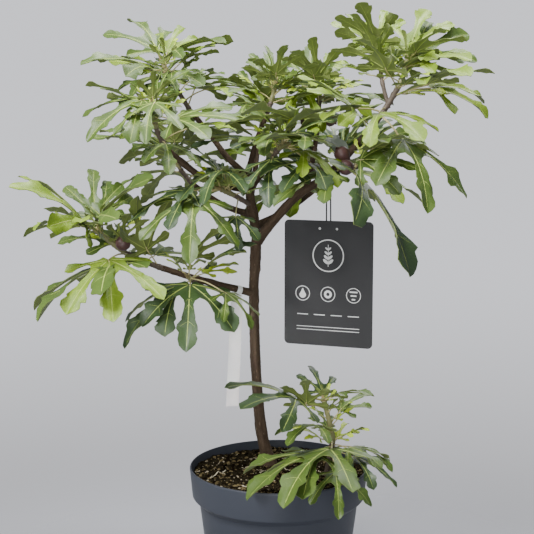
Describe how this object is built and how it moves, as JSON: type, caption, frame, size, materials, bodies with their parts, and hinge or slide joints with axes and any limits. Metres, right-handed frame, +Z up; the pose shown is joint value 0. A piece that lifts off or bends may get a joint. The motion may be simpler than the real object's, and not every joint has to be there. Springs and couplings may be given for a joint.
{
  "type": "fig tree in a pot",
  "caption": "Young potted fig tree with a slim leaning trunk, spreading boughs, lobed leaf masses, small fruits, a basal shoot and two hanging labels in a round nursery pot.",
  "frame": {"origin": "middle of the pot's flat underside", "axes": "+Z up along the pot's axis; -Y is the front, the side that the hang tag faces; +X is to the viewer's right"},
  "size_m": [0.5325, 0.3975, 0.694],
  "materials": {
    "pot": "satin dark blue-grey moulded plastic",
    "compost": "moist crumbly compost",
    "bark": "rough grey-brown bark",
    "foliage": "green leaves on soft twigs",
    "tag": "satin black card with pale motifs",
    "strap": "thin black plastic thread",
    "label": "plain white paper label"
  },
  "bodies": {
    "root": {"pot": "pot", "soil": "compost", "trunk": "bark", "bough_right": "bark", "bough_inner_right": "bark", "spur_right": "bark", "bough_lower_left": "bark", "spur_low": "bark", "bough_left": "bark", "bough_high_left": "bark", "bough_top": "bark", "bough_back": "bark", "bough_back_left": "bark", "bough_back_right": "bark", "bough_front": "bark", "foliage_upper_right": "foliage", "foliage_right": "foliage", "foliage_inner_right": "foliage", "foliage_front": "foliage", "foliage_top": "foliage", "foliage_high_left": "foliage", "foliage_left": "foliage", "foliage_middle_left": "foliage", "foliage_lower_left": "foliage", "foliage_low_middle": "foliage", "foliage_back": "foliage", "foliage_back_left": "foliage", "foliage_back_right": "foliage", "shoot": "foliage", "tag_card": "tag", "tag_strap": "strap", "label_strip": "label"}
  },
  "joints": []
}
